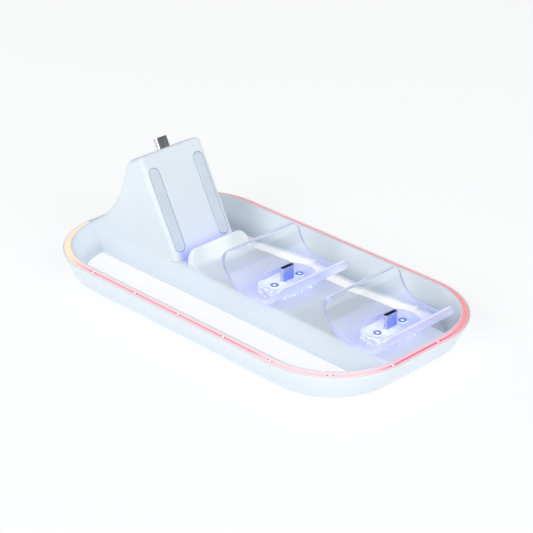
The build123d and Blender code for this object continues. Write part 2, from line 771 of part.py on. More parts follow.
def riser_ribbon():
    """Flat cable straight down from the riser board to the main board."""
    ribbon = Pos(0, -far / 4, 0) * Box(ribbon_width, far / 2, ribbon_thickness)
    return (riser_board_spot(0, 0) * ribbon) & block_between(far, far, board_top_z, far)


def inlet_shell():
    """Oval steel tube of the power socket."""
    inside = oval(inlet_width - 2 * inlet_wall, inlet_thickness - 2 * inlet_wall, 3 * inlet_length)
    tube = oval(inlet_width, inlet_thickness, inlet_length) - Pos(0, 0, -inlet_length) * inside
    return inlet_place() * tube


def inlet_core():
    """Insulator at the back of the power socket, with its tongue."""
    wall = inlet_wall + fit_gap
    back = oval(inlet_width - 2 * wall, inlet_thickness - 2 * wall, inlet_back)
    tongue = extrude(Rectangle(tongue_width, tongue_thickness), -tongue_length)
    return inlet_place() * Pos(0, 0, inlet_length - inlet_back) * (back + tongue)


def rubber_feet():
    """Pads under the ring."""
    return Compound([place * foot_pad() for place in foot_places()])


def base_screws():
    """Flat-headed screws from below into the bridge's bosses."""
    head_top = band_foot_z + base_screw_head_height
    screw = upright(base_screw_head_radius, band_foot_z, head_top)
    screw += upright(base_screw_radius, head_top, seam_z + base_screw_length - base_screw_end_gap)
    return Compound([place * screw for place in base_screw_places()])


nodes = {
    "housing": housing(),
    "base_cover": base_cover(),
    "backrest_panel": backrest_panel(),
    "grip_strip_near": grip_strip(-1),
    "grip_strip_far": grip_strip(1),
    "light_guide": light_guide(),
    "led_tape": led_tape(),
    "ring_leds": ring_leds(),
    "cradle_one": cradle(plug_x_one),
    "cradle_two": cradle(plug_x_two),
    "pedestal_one": pedestal(plug_x_one),
    "pedestal_two": pedestal(plug_x_two),
    "cradle_screws": cradle_screws(),
    "plug_shell_one": cradle_plug_place(plug_x_one) * plug_shell(plug_length),
    "plug_shell_two": cradle_plug_place(plug_x_two) * plug_shell(plug_length),
    "plug_core_one": cradle_plug_place(plug_x_one) * plug_core(plug_length),
    "plug_core_two": cradle_plug_place(plug_x_two) * plug_core(plug_length),
    "plug_neck_one": plug_neck(plug_x_one),
    "plug_neck_two": plug_neck(plug_x_two),
    "riser_plug_shell": riser_plug_place() * plug_shell(riser_plug_length),
    "riser_plug_core": riser_plug_place() * plug_core(riser_plug_length),
    "riser_board": riser_board(),
    "riser_ribbon": riser_ribbon(),
    "seat_light": seat_light_shape(0),
    "main_board": main_board(),
    "board_screws": board_screws(),
    "glow_leds": glow_leds(),
    "inlet_shell": inlet_shell(),
    "inlet_core": inlet_core(),
    "rubber_feet": rubber_feet(),
    "base_screws": base_screws(),
}
for name, shape in nodes.items():
    export_step(shape, f"parts/{name}.step")
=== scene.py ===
import bpy
import bmesh
import json
import math
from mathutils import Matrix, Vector
from mathutils.bvhtree import BVHTree

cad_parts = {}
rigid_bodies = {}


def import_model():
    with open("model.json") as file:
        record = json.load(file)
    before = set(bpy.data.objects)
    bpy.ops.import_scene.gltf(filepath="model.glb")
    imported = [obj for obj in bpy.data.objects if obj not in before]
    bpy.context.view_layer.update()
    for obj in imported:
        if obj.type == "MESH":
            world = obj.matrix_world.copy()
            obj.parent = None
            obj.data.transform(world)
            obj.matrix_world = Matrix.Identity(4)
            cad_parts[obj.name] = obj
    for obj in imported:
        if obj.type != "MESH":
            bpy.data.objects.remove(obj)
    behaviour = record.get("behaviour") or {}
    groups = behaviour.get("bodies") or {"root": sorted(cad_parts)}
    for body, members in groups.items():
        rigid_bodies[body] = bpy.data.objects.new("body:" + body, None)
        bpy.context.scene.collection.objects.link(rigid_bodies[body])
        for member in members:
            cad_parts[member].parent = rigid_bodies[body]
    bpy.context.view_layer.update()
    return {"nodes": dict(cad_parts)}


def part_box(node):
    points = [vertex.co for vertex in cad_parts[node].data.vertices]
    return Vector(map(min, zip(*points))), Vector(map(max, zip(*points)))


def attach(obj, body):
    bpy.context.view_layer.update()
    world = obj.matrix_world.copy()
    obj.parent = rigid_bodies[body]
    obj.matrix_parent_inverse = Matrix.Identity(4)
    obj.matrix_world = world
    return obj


for leftover in list(bpy.data.objects):  # the start-up cube, lamp and camera
    bpy.data.objects.remove(leftover)
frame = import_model()
nodes = frame["nodes"]
mm = 0.001
black = (0.0, 0.0, 0.0)
clearBend = 1.49  # how much the clear plastic bends light
print("frame loaded:", len(nodes), "nodes")


# small helpers for node trees
def addNode(tree, kind, **settings):
    made = tree.nodes.new(kind)
    for key, value in settings.items():
        setattr(made, key, value)
    return made


def setInputs(node, **values):
    for key, value in values.items():
        node.inputs[key.replace("_", " ")].default_value = value


def newFinish(name, **sockets):
    finish = bpy.data.materials.new(name)
    finish.use_nodes = True
    shader = finish.node_tree.nodes["Principled BSDF"]
    setInputs(shader, **sockets)
    return finish, finish.node_tree, shader


def objectPlace(tree):
    return addNode(tree, "ShaderNodeTexCoord").outputs["Object"]


def splitVector(tree, source):
    parts = addNode(tree, "ShaderNodeSeparateXYZ")
    tree.links.new(source, parts.inputs[0])
    return parts.outputs


def splitNormal(tree, kind):
    return splitVector(tree, addNode(tree, "ShaderNodeNewGeometry").outputs[kind])


def addNoise(tree, grainSize, detail=3.0):
    noise = addNode(tree, "ShaderNodeTexNoise")
    setInputs(noise, Scale=1.0 / grainSize, Detail=detail)
    tree.links.new(objectPlace(tree), noise.inputs["Vector"])
    return noise.outputs["Fac"]


def rangeOf(tree, source, low, high, lowOut, highOut):
    span = addNode(tree, "ShaderNodeMapRange", interpolation_type="SMOOTHSTEP")
    setInputs(span, **{"From Min": low, "From Max": high, "To Min": lowOut, "To Max": highOut})
    tree.links.new(source, span.inputs["Value"])
    return span.outputs["Result"]


def addMath(tree, operation, first, second=None):
    made = addNode(tree, "ShaderNodeMath", operation=operation)
    for socket, value in zip(made.inputs, (first, second)):
        if isinstance(value, (int, float)):
            socket.default_value = value
        elif value is not None:
            tree.links.new(value, socket)
    return made.outputs[0]


def multiplied(tree, *factors):
    product = factors[0]
    for factor in factors[1:]:
        product = addMath(tree, "MULTIPLY", product, factor)
    return product


def lengthOf(tree, *parts):
    squares = [addMath(tree, "MULTIPLY", part, part) for part in parts]
    return addMath(tree, "SQRT", addMath(tree, "ADD", *squares))


# how far a point lies from the straight core of a rounded oblong
def oblongRadius(tree, place, core):
    beyond = []
    for axis, half in core.items():
        past = addMath(tree, "SUBTRACT", addMath(tree, "ABSOLUTE", place[axis]), half)
        beyond.append(addMath(tree, "MAXIMUM", past, 0.0))
    return lengthOf(tree, *beyond)


def colourSockets(sockets):
    return [socket for socket in sockets if socket.type == "RGBA"]


def mixColours(tree, factor, first, second, blend="MIX"):
    mix = addNode(tree, "ShaderNodeMix", data_type="RGBA", blend_type=blend)
    if isinstance(factor, float):
        mix.inputs["Factor"].default_value = factor
    else:
        tree.links.new(factor, mix.inputs["Factor"])
    for socket, value in zip(colourSockets(mix.inputs), (first, second)):
        if isinstance(value, tuple):
            socket.default_value = (*value, 1.0)
        else:
            tree.links.new(value, socket)
    return colourSockets(mix.outputs)[0]


# fine moulded texture: a little variation of gloss and of colour, and a shallow bump
texture = {"glossPatch": 6, "glossRange": (0.3, 0.7), "bumpStrength": 0.6, "mottleRange": (0.35, 0.65)}


def addGrain(tree, shader, look):
    gloss = addNoise(tree, look["grain"] * texture["glossPatch"])
    tree.links.new(rangeOf(tree, gloss, *texture["glossRange"], *look["rough"]), shader.inputs["Roughness"])
    bump = addNode(tree, "ShaderNodeBump")
    setInputs(bump, Strength=texture["bumpStrength"], Distance=look["bump"])
    tree.links.new(addNoise(tree, look["grain"]), bump.inputs["Height"])
    tree.links.new(bump.outputs["Normal"], shader.inputs["Normal"])


def addMottle(tree, shader, patchSize, paler, deeper):
    patches = rangeOf(tree, addNoise(tree, patchSize), *texture["mottleRange"], 0.0, 1.0)
    tree.links.new(mixColours(tree, patches, paler, deeper), shader.inputs["Base Color"])


def dress(finish, *names):
    for name in names:
        for place in nodes[name].material_slots:
            place.material = finish


# white moulded shell: satin, faintly blue; it carries painted blue light from the light bar and the
# pedestals, painted shade on the low parts of its walls, and painted light on the lip before the backrest
barLow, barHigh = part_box("seat_light")
plugMiddles = {count: sum(corner.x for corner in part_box("plug_shell_" + count)) / 2
               for count in ("one", "two")}
shell = {"paler": (0.80, 0.862, 0.912), "deeper": (0.785, 0.85, 0.902), "patch": 14 * mm, "shine": 0.4,
         "grain": 0.35 * mm, "bump": 0.012 * mm, "rough": (0.36, 0.46),
         "lipLight": (1.0, 0.96, 0.76), "lipAll": 0.09, "lipSpot": 0.15, "lipBack": 0.8 * mm,
         "lipSharp": 0.3 * mm, "lipFade": (6 * mm, 14 * mm), "lipFoot": (0.5 * mm, 3.0 * mm),
         "lipMiddle": -1.5 * mm, "lipReach": (3 * mm, 12 * mm),
         "wallShade": (0.738, 0.808, 0.868), "wallRise": (2 * mm, 15 * mm), "wallFacing": (0.35, 0.7),
         "innerShade": (0.58, 0.66, 0.75), "innerRise": (1.5 * mm, 9 * mm), "inward": (-10 * mm, 0.0),
         "paintedFootLight": (0.52, 0.57, 0.96), "footMost": 0.9, "footRise": 7 * mm, "footBack": (9 * mm, 3 * mm),
         "footSide": 3 * mm,
         "spill": (0.30, 0.33, 1.0), "spillStrength": 0.10, "spillReach": (8 * mm, 26 * mm),
         "spillTop": 3 * mm, "lipSpill": (14 * mm, -4 * mm)}
lipStart = barHigh.x + shell["lipBack"]  # the lip stands just past the light bar


# painted light on the lip before the backrest, strongest in a spot near its middle
def paintedLipLight(tree, place):
    begins = rangeOf(tree, place["X"], lipStart - shell["lipSharp"], lipStart, 0.0, 1.0)
    ends = rangeOf(tree, place["X"], *[lipStart + fade for fade in shell["lipFade"]], 1.0, 0.0)
    rises = rangeOf(tree, place["Z"], *[barHigh.z + foot for foot in shell["lipFoot"]], 0.0, 1.0)
    aside = addMath(tree, "ABSOLUTE", addMath(tree, "SUBTRACT", place["Y"], shell["lipMiddle"]))
    spot = rangeOf(tree, aside, *shell["lipReach"], shell["lipAll"] + shell["lipSpot"], shell["lipAll"])
    return multiplied(tree, begins, ends, rises, spot)


# painted blue light from the light bar on the backrest's foot, put into the base colour
def paintedBarLight(tree, place):
    before = rangeOf(tree, place["X"], lipStart - shell["lipSharp"], lipStart, shell["footMost"], 0.0)
    behind = rangeOf(tree, place["X"], *[barLow.x - back for back in shell["footBack"]], 0.0, 1.0)
    low = rangeOf(tree, place["Z"], barHigh.z, barHigh.z + shell["footRise"], 1.0, 0.0)
    aside = addMath(tree, "ABSOLUTE", place["Y"])
    within = rangeOf(tree, aside, barHigh.y, barHigh.y + shell["footSide"], 1.0, 0.0)
    return multiplied(tree, before, behind, low, within)


# painted shade on the low parts of the walls, and apart from it a deeper painted shade low on those that
# face the ring's middle
def lowWallShade(tree, place):
    facing = splitNormal(tree, "True Normal")
    wall = rangeOf(tree, addMath(tree, "ABSOLUTE", facing["Z"]), *shell["wallFacing"], 1.0, 0.0)
    outward = addMath(tree, "ADD", *[multiplied(tree, facing[axis], place[axis]) for axis in "XY"])
    inner = multiplied(tree, wall, rangeOf(tree, outward, *shell["inward"], 1.0, 0.0))
    outer = addMath(tree, "SUBTRACT", wall, inner)
    return (multiplied(tree, outer, rangeOf(tree, place["Z"], *shell["wallRise"], 1.0, 0.0)),
            multiplied(tree, inner, rangeOf(tree, place["Z"], *shell["innerRise"], 1.0, 0.0)))


# painted blue light spilled on the shell low down, around the pedestals and before the lip
def paintedBlueSpill(tree, place):
    centres = [(middle, 0.0) for middle in plugMiddles.values()]
    centres.append((barHigh.x + shell["lipSpill"][0], shell["lipSpill"][1]))  # and before the lip
    reach = None
    for centre in centres:
        gaps = [addMath(tree, "SUBTRACT", place[axis], value) for axis, value in zip("XY", centre)]
        away = lengthOf(tree, *gaps)
        reach = away if reach is None else addMath(tree, "MINIMUM", reach, away)
    near = rangeOf(tree, reach, *shell["spillReach"], shell["spillStrength"], 0.0)
    low = rangeOf(tree, place["Z"], barHigh.z, barHigh.z + shell["spillTop"], 1.0, 0.0)
    return multiplied(tree, near, low)


def makeShell():
    finish, tree, shader = newFinish("whiteShell", Specular_IOR_Level=shell["shine"], Emission_Strength=1.0)
    addMottle(tree, shader, shell["patch"], shell["paler"], shell["deeper"])
    addGrain(tree, shader, shell)
    place = splitVector(tree, objectPlace(tree))
    colour = shader.inputs["Base Color"].links[0].from_socket
    outer, inner = lowWallShade(tree, place)
    colour = mixColours(tree, outer, colour, shell["wallShade"])
    colour = mixColours(tree, inner, colour, shell["innerShade"])
    colour = mixColours(tree, paintedBarLight(tree, place), colour, shell["paintedFootLight"])
    tree.links.new(colour, shader.inputs["Base Color"])
    lip = mixColours(tree, paintedLipLight(tree, place), black, shell["lipLight"])
    spill = mixColours(tree, paintedBlueSpill(tree, place), black, shell["spill"])
    tree.links.new(mixColours(tree, 1.0, lip, spill, "ADD"), shader.inputs["Emission Color"])
    return finish


dress(makeShell(), "housing", "base_cover", "backrest_panel")
print("white shell dressed")


# soft grey-blue grip rubber
rubber = {"paler": (0.66, 0.745, 0.81), "deeper": (0.63, 0.715, 0.785), "patch": 5 * mm, "shine": 0.3,
          "sheen": 0.15, "grain": 0.22 * mm, "bump": 0.03 * mm, "rough": (0.62, 0.78)}


def makeGripRubber():
    finish, tree, shader = newFinish("gripRubber", Specular_IOR_Level=rubber["shine"],
                                     Sheen_Weight=rubber["sheen"])
    addMottle(tree, shader, rubber["patch"], rubber["paler"], rubber["deeper"])
    addGrain(tree, shader, rubber)
    return finish


dress(makeGripRubber(), "grip_strip_near", "grip_strip_far")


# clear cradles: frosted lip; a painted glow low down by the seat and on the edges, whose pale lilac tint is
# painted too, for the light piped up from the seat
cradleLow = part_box("cradle_one")[0]
cradle = {"tint": (0.972, 0.98, 1.0), "lipTint": (0.90, 0.925, 0.98), "edgeTint": (0.66, 0.70, 1.0),
          "topTint": (0.84, 0.87, 1.0), "glow": (0.44, 0.44, 1.0), "edgeGlow": (0.55, 0.60, 1.0),
          "seatStrength": 0.15, "edgeStrength": 0.09, "topStrength": 0.26, "lipStrength": 0.02,
          "edgeClear": 0.35, "lipRough": 0.28, "lipStart": (9 * mm, 13 * mm), "sideFacing": (0.35, 0.8),
          "wallTop": (4 * mm, 5 * mm), "wallFacing": (0.15, 0.35), "topEdge": (7 * mm, 8.5 * mm),
          "topFacing": (0.62, 0.9), "fadeTop": 10 * mm,
          "grain": 9 * mm, "bump": 0.02 * mm, "rough": (0.02, 0.06)}


def cradleEdge(tree, height):
    facing = splitNormal(tree, "True Normal")
    sideEdge = rangeOf(tree, addMath(tree, "ABSOLUTE", facing["Y"]), *cradle["sideFacing"], 0.0, 1.0)
    # walls of the seat's opening: level normals, low down
    low = rangeOf(tree, height, *[cradleLow.z + rise for rise in cradle["wallTop"]], 1.0, 0.0)
    level = rangeOf(tree, addMath(tree, "ABSOLUTE", facing["Z"]), *cradle["wallFacing"], 1.0, 0.0)
    high = rangeOf(tree, height, *[cradleLow.z + rise for rise in cradle["topEdge"]], 0.0, 1.0)
    upward = rangeOf(tree, facing["Z"], *cradle["topFacing"], 0.0, 1.0)
    return addMath(tree, "MAXIMUM", sideEdge, multiplied(tree, low, level)), multiplied(tree, high, upward)


def makeClearCradle(name, plugX):
    finish, tree, shader = newFinish(name, IOR=clearBend)
    addGrain(tree, shader, cradle)
    place = splitVector(tree, objectPlace(tree))
    sides, top = cradleEdge(tree, place["Z"])
    edge = addMath(tree, "MAXIMUM", sides, top)
    lip = rangeOf(tree, place["X"], *[plugX + start for start in cradle["lipStart"]], 0.0, 1.0)
    clear = mixColours(tree, lip, cradle["tint"], cradle["lipTint"])
    edgeColour = mixColours(tree, top, cradle["edgeTint"], cradle["topTint"])
    tree.links.new(mixColours(tree, edge, clear, edgeColour), shader.inputs["Base Color"])
    clearness = rangeOf(tree, edge, 0.0, 1.0, 1.0, cradle["edgeClear"])
    tree.links.new(clearness, shader.inputs["Transmission Weight"])
    polish = shader.inputs["Roughness"].links[0].from_socket
    frost = addMath(tree, "MULTIPLY", lip, cradle["lipRough"])
    tree.links.new(addMath(tree, "MAXIMUM", polish, frost), shader.inputs["Roughness"])
    # painted glow: strongest low by the seat, added along the edges, the top edge and the lip
    fadeEnd = cradleLow.z + cradle["fadeTop"]
    strength = rangeOf(tree, place["Z"], cradleLow.z, fadeEnd, cradle["seatStrength"], 0.0)
    for mask, share in ((sides, "edgeStrength"), (top, "topStrength"), (lip, "lipStrength")):
        strength = addMath(tree, "ADD", strength, addMath(tree, "MULTIPLY", mask, cradle[share]))
    pale = addMath(tree, "MAXIMUM", edge, lip)
    glow = mixColours(tree, pale, cradle["glow"], cradle["edgeGlow"])
    tree.links.new(glow, shader.inputs["Emission Color"])
    tree.links.new(strength, shader.inputs["Emission Strength"])
    return finish


for count, middle in plugMiddles.items():
    dress(makeClearCradle("clearCradle" + count.title(), middle), "cradle_" + count)


# pedestals and the plugs' collars: cloudy blocks flooded with light; the top is pale and turns lilac
# towards the far end, and the sides carry pale patches and bright glints that are painted highlights
pedestal = {"sideColour": (0.60, 0.66, 0.97), "paintedSideHighlight": (0.93, 0.96, 1.0), "patch": 3.2 * mm,
            "patchRange": (0.40, 0.60), "sideGlow": (0.20, 0.23, 0.44),
            "topColour": (0.92, 0.97, 1.0), "topGlow": (0.38, 0.41, 0.45), "topFacing": (0.5, 0.95),
            "farColour": (0.64, 0.69, 1.0), "farGlow": (0.25, 0.28, 0.45), "far": (-3 * mm, 6 * mm),
            "glint": (0.85, 0.88, 0.95), "glintSize": 2.2 * mm, "glintRange": (0.53, 0.60),
            "strength": 0.5, "cloud": 0.25, "detail": 1.0,
            "grain": 2.5 * mm, "bump": 0.05 * mm, "rough": (0.06, 0.16)}


def makePedestal():
    finish, tree, shader = newFinish("litPedestal", IOR=clearBend, Transmission_Weight=pedestal["cloud"],
                                     Emission_Strength=pedestal["strength"])
    addGrain(tree, shader, pedestal)
    upward = rangeOf(tree, splitNormal(tree, "Normal")["Z"], *pedestal["topFacing"], 0.0, 1.0)
    patchNoise = addNoise(tree, pedestal["patch"], pedestal["detail"])
    patches = rangeOf(tree, patchNoise, *pedestal["patchRange"], 0.0, 1.0)
    side = mixColours(tree, patches, pedestal["sideColour"], pedestal["paintedSideHighlight"])
    away = rangeOf(tree, splitVector(tree, objectPlace(tree))["Y"], *pedestal["far"], 0.0, 1.0)
    top = mixColours(tree, away, pedestal["topColour"], pedestal["farColour"])
    tree.links.new(mixColours(tree, upward, side, top), shader.inputs["Base Color"])
    # painted glints: bright spots of emission on the sides
    glintNoise = addNoise(tree, pedestal["glintSize"], pedestal["detail"])
    glints = rangeOf(tree, glintNoise, *pedestal["glintRange"], 0.0, 1.0)
    sideGlow = mixColours(tree, glints, pedestal["sideGlow"], pedestal["glint"])
    topGlow = mixColours(tree, away, pedestal["topGlow"], pedestal["farGlow"])
    tree.links.new(mixColours(tree, upward, sideGlow, topGlow), shader.inputs["Emission Color"])
    return finish


dress(makePedestal(), "pedestal_one", "pedestal_two", "plug_neck_one", "plug_neck_two")


# blue light bar in the seat at the foot of the backrest
seatBar = {"tint": (0.30, 0.36, 0.95), "glow": (0.16, 0.20, 1.0), "strength": 1.7,
           "grain": 1.5 * mm, "bump": 0.02 * mm, "rough": (0.2, 0.35)}


def makeSeatBar():
    finish, tree, shader = newFinish("seatBar", Base_Color=(*seatBar["tint"], 1.0), IOR=clearBend,
                                     Emission_Color=(*seatBar["glow"], 1.0),
                                     Emission_Strength=seatBar["strength"])
    addGrain(tree, shader, seatBar)
    return finish


dress(makeSeatBar(), "seat_light")
print("clear pieces dressed")


# light strip in the rim: pale margins and a stronger middle line; amber by the riser, then pink, pale at
# the near corner, red at the free end, and one red along the far side
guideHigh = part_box("light_guide")[1]
strip = {"amber": (-88 * mm, -60 * mm), "pale": (50 * mm, 62 * mm), "red": (66 * mm, 92 * mm),
         "far": (10 * mm, 36 * mm),
         "margins": ((1.15, 0.88, 0.72), (0.97, 0.70, 0.76), (0.97, 0.74, 0.79), (0.99, 0.57, 0.64),
                     (1.02, 0.41, 0.45)),
         "lines": ((1.20, 0.97, 0.56), (0.89, 0.33, 0.42), (0.96, 0.66, 0.72), (0.72, 0.13, 0.23),
                   (0.95, 0.35, 0.38)),
         "lineReach": (0.15 * mm, 0.68 * mm), "glow": 0.40, "shade": 0.3,
         "toMiddle": 1.55 * mm, "corner": 39.4 * mm,
         "grain": 3 * mm, "bump": 0.02 * mm, "rough": (0.25, 0.4)}


def zoneColours(tree, place, colours):
    slanted = addMath(tree, "ADD", place["X"], place["Y"])  # the red begins past the near corner
    along = {"amber": place["X"], "pale": place["X"], "red": slanted, "far": place["Y"]}
    colour = colours[0]
    for (zone, axis), following in zip(along.items(), colours[1:]):
        colour = mixColours(tree, rangeOf(tree, axis, *strip[zone], 0.0, 1.0), colour, following)
    return colour


def makeStrip():
    finish, tree, shader = newFinish("rimLight", IOR=clearBend, Emission_Strength=strip["glow"])
    addGrain(tree, shader, strip)
    place = splitVector(tree, objectPlace(tree))
    # the middle line is a rounded oblong
    inset = strip["toMiddle"] + strip["corner"]
    radius = oblongRadius(tree, place, {"X": guideHigh.x - inset, "Y": guideHigh.y - inset})
    away = addMath(tree, "ABSOLUTE", addMath(tree, "SUBTRACT", radius, strip["corner"]))
    onLine = rangeOf(tree, away, *strip["lineReach"], 1.0, 0.0)
    margin = zoneColours(tree, place, strip["margins"])
    line = zoneColours(tree, place, strip["lines"])
    colour = mixColours(tree, onLine, margin, line)
    tree.links.new(mixColours(tree, strip["shade"], colour, black), shader.inputs["Base Color"])
    tree.links.new(colour, shader.inputs["Emission Color"])
    return finish


dress(makeStrip(), "light_guide")


# lamp marks: a pale pill between two dark dots, over the lamps that show through the strip
marks = {"pillLength": 1.4 * mm, "pillWidth": 0.9 * mm, "dotLength": 0.707 * mm, "dotWidth": 0.7 * mm,
         "dotReach": 1.25 * mm, "outward": 1.1 * mm, "lift": 0.05 * mm, "sink": 0.1 * mm, "turnSteps": 8,
         "shoulder": 0.4, "topShrink": 0.8, "fromX": -62 * mm, "untilY": 14 * mm, "topFacing": 0.6,
         "weld": 0.001 * mm, "pillColour": (0.97, 0.86, 0.88), "pillGlow": 0.3,
         "dotColour": (0.50, 0.08, 0.15), "dotGlow": 0.0, "deepen": 0.92, "patch": 0.8 * mm,
         "grain": 0.3 * mm, "bump": 0.005 * mm, "rough": (0.3, 0.45)}


def lampCentres():
    mesh = bmesh.new()
    mesh.from_mesh(nodes["ring_leds"].data)
    bmesh.ops.remove_doubles(mesh, verts=mesh.verts, dist=marks["weld"])
    left = set(mesh.verts)
    centres = []
    while left:
        island = [left.pop()]
        for vert in island:
            for edge in vert.link_edges:
                other = edge.other_vert(vert)
                if other in left:
                    left.remove(other)
                    island.append(other)
        centres.append(sum((v.co for v in island), Vector()) / len(island))
    mesh.free()
    return centres


# where each lamp under the rim shines through the strip's top
def lampSpots():
    guide = nodes["light_guide"].data
    upper = [list(face.vertices) for face in guide.polygons if face.normal.z > marks["topFacing"]]
    top = BVHTree.FromPolygons([v.co.copy() for v in guide.vertices], upper)
    return [top.find_nearest(centre)[:2] for centre in lampCentres()]


def addPill(mesh, centre, along, across, up, length, width, slotIndex):
    steps = marks["turnSteps"]
    radius = width / 2
    straight = (length - width) / 2
    rings = []
    for height, shrink in ((-marks["sink"], 1.0), (marks["lift"] * marks["shoulder"], 1.0),
                           (marks["lift"], marks["topShrink"])):
        ring = []
        for side in (1, -1):
            for step in range(steps + 1):
                angle = math.pi * (step / steps - 0.5)
                a = side * (straight + radius * shrink * math.cos(angle))
                b = side * radius * shrink * math.sin(angle)
                ring.append(mesh.verts.new(centre + along * a + across * b + up * height))
        rings.append(ring)
    faces = [mesh.faces.new(list(reversed(rings[0]))), mesh.faces.new(rings[-1])]
    for low, high in zip(rings, rings[1:]):
        for i in range(len(low)):
            j = (i + 1) % len(low)
            faces.append(mesh.faces.new((low[i], low[j], high[j], high[i])))
    for face in faces:
        face.material_index = slotIndex


def makeMarkFinish(name, colour, glow):
    finish, tree, shader = newFinish(name, Emission_Color=(*colour, 1.0), Emission_Strength=glow)
    addMottle(tree, shader, marks["patch"], colour, tuple(c * marks["deepen"] for c in colour))
    addGrain(tree, shader, marks)
    return finish


def makeLampMarks():
    mesh = bmesh.new()
    for place, up in lampSpots():
        if place.x < marks["fromX"] or place.y > marks["untilY"]:
            continue  # these lamps are too dim to show
        along = Vector((-up.y, up.x, 0)).normalized()
        across = up.cross(along)
        place = place - across * marks["outward"]  # onto the strip's middle
        addPill(mesh, place, along, across, up, marks["pillLength"], marks["pillWidth"], 0)
        for side in (1, -1):
            spot = place + along * side * marks["dotReach"]
            addPill(mesh, spot, along, across, up, marks["dotLength"], marks["dotWidth"], 1)
    bmesh.ops.recalc_face_normals(mesh, faces=mesh.faces)
    data = bpy.data.meshes.new("lampMarks")
    mesh.to_mesh(data)
    mesh.free()
    data.materials.append(makeMarkFinish("markPale", marks["pillColour"], marks["pillGlow"]))
    data.materials.append(makeMarkFinish("markDark", marks["dotColour"], marks["dotGlow"]))
    piece = bpy.data.objects.new("lampMarks", data)
    bpy.context.scene.collection.objects.link(piece)
    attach(piece, "root")


makeLampMarks()
print("rim light and lamp marks made")


# metals: plug shells, sockets and screws
metal = {"steel": (0.74, 0.75, 0.77), "steelDeep": (0.68, 0.69, 0.72), "patch": 1.2 * mm,
         "litHigh": (0.52, 0.58, 0.86), "litLow": (0.30, 0.37, 0.86), "broadFacing": (0.7, 0.95),
         "grain": 0.8 * mm, "bump": 0.0004 * mm, "rough": (0.2, 0.3)}
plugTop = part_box("plug_shell_one")[1].z


def makeMetal(name):
    finish, tree, shader = newFinish(name, Metallic=1.0)
    addMottle(tree, shader, metal["patch"], metal["steel"], metal["steelDeep"])
    addGrain(tree, shader, metal)
    return finish


def makeLitPlug():
    finish = makeMetal("plugSteelLit")
    tree = finish.node_tree
    colourIn = tree.nodes["Principled BSDF"].inputs["Base Color"]
    steel = colourIn.links[0].from_socket
    # the broad faces carry a painted blue reflection of the seat's glow below them, paler higher up
    facing = addMath(tree, "ABSOLUTE", splitNormal(tree, "Normal")["X"])
    broad = rangeOf(tree, facing, *metal["broadFacing"], 0.0, 1.0)
    climb = rangeOf(tree, splitVector(tree, objectPlace(tree))["Z"], cradleLow.z, plugTop, 0.0, 1.0)
    blue = mixColours(tree, climb, metal["litLow"], metal["litHigh"])
    tree.links.new(mixColours(tree, broad, steel, blue), colourIn)
    return finish


dress(makeMetal("plugSteel"), "riser_plug_shell", "inlet_shell")
dress(makeMetal("screwSteel"), "board_screws", "base_screws")
dress(makeLitPlug(), "plug_shell_one", "plug_shell_two")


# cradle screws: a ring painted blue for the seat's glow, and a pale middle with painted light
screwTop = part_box("cradle_screws")[1].z
ringScrew = {"ring": (0.27, 0.33, 0.92), "middle": (0.90, 0.95, 1.0), "glow": (0.42, 0.46, 0.50),
             "socket": (0.6 * mm, 0.2 * mm), "shine": 0.5,
             "grain": 0.5 * mm, "bump": 0.002 * mm, "rough": (0.25, 0.4)}


def makeRingScrew():
    finish, tree, shader = newFinish("ringScrew", Specular_IOR_Level=ringScrew["shine"],
                                     Emission_Strength=1.0)
    addGrain(tree, shader, ringScrew)
    height = splitVector(tree, objectPlace(tree))["Z"]
    raised = rangeOf(tree, height, *[screwTop - depth for depth in ringScrew["socket"]], 0.0, 1.0)
    # the raised ring is painted blue for the seat's glow; the sunk middle is pale and given painted light
    colour = mixColours(tree, raised, ringScrew["middle"], ringScrew["ring"])
    tree.links.new(colour, shader.inputs["Base Color"])
    tree.links.new(mixColours(tree, raised, ringScrew["glow"], black), shader.inputs["Emission Color"])
    return finish


dress(makeRingScrew(), "cradle_screws")


# plain moulded and printed pieces: two shades, roughness and the pieces that have them
plainTexture = {"patch": 3 * mm, "grain": 0.3 * mm, "bump": 0.015 * mm}
plainPieces = {
    "blackInsulator": {"paler": (0.016, 0.016, 0.018), "deeper": (0.010, 0.010, 0.012), "rough": (0.35, 0.5),
                       "nodes": ("plug_core_one", "plug_core_two", "riser_plug_core", "inlet_core")},
    "circuitBoard": {"paler": (0.02, 0.13, 0.06), "deeper": (0.012, 0.09, 0.045), "rough": (0.3, 0.5),
                     "nodes": ("main_board", "riser_board")},
    "flexTape": {"paler": (0.62, 0.45, 0.16), "deeper": (0.52, 0.36, 0.12), "rough": (0.3, 0.45),
                 "nodes": ("led_tape", "riser_ribbon")},
    "lampBody": {"paler": (0.85, 0.83, 0.70), "deeper": (0.75, 0.73, 0.60), "rough": (0.25, 0.4),
                 "nodes": ("ring_leds", "glow_leds")},
    "footRubber": {"paler": (0.62, 0.66, 0.70), "deeper": (0.56, 0.60, 0.64), "rough": (0.65, 0.85),
                   "nodes": ("rubber_feet",)},
}


def makePlain(name, look):
    finish, tree, shader = newFinish(name)
    addMottle(tree, shader, plainTexture["patch"], look["paler"], look["deeper"])
    addGrain(tree, shader, {**plainTexture, "rough": look["rough"]})
    return finish


for name, look in plainPieces.items():
    dress(makePlain(name, look), *look["nodes"])
print("metals and small pieces dressed")


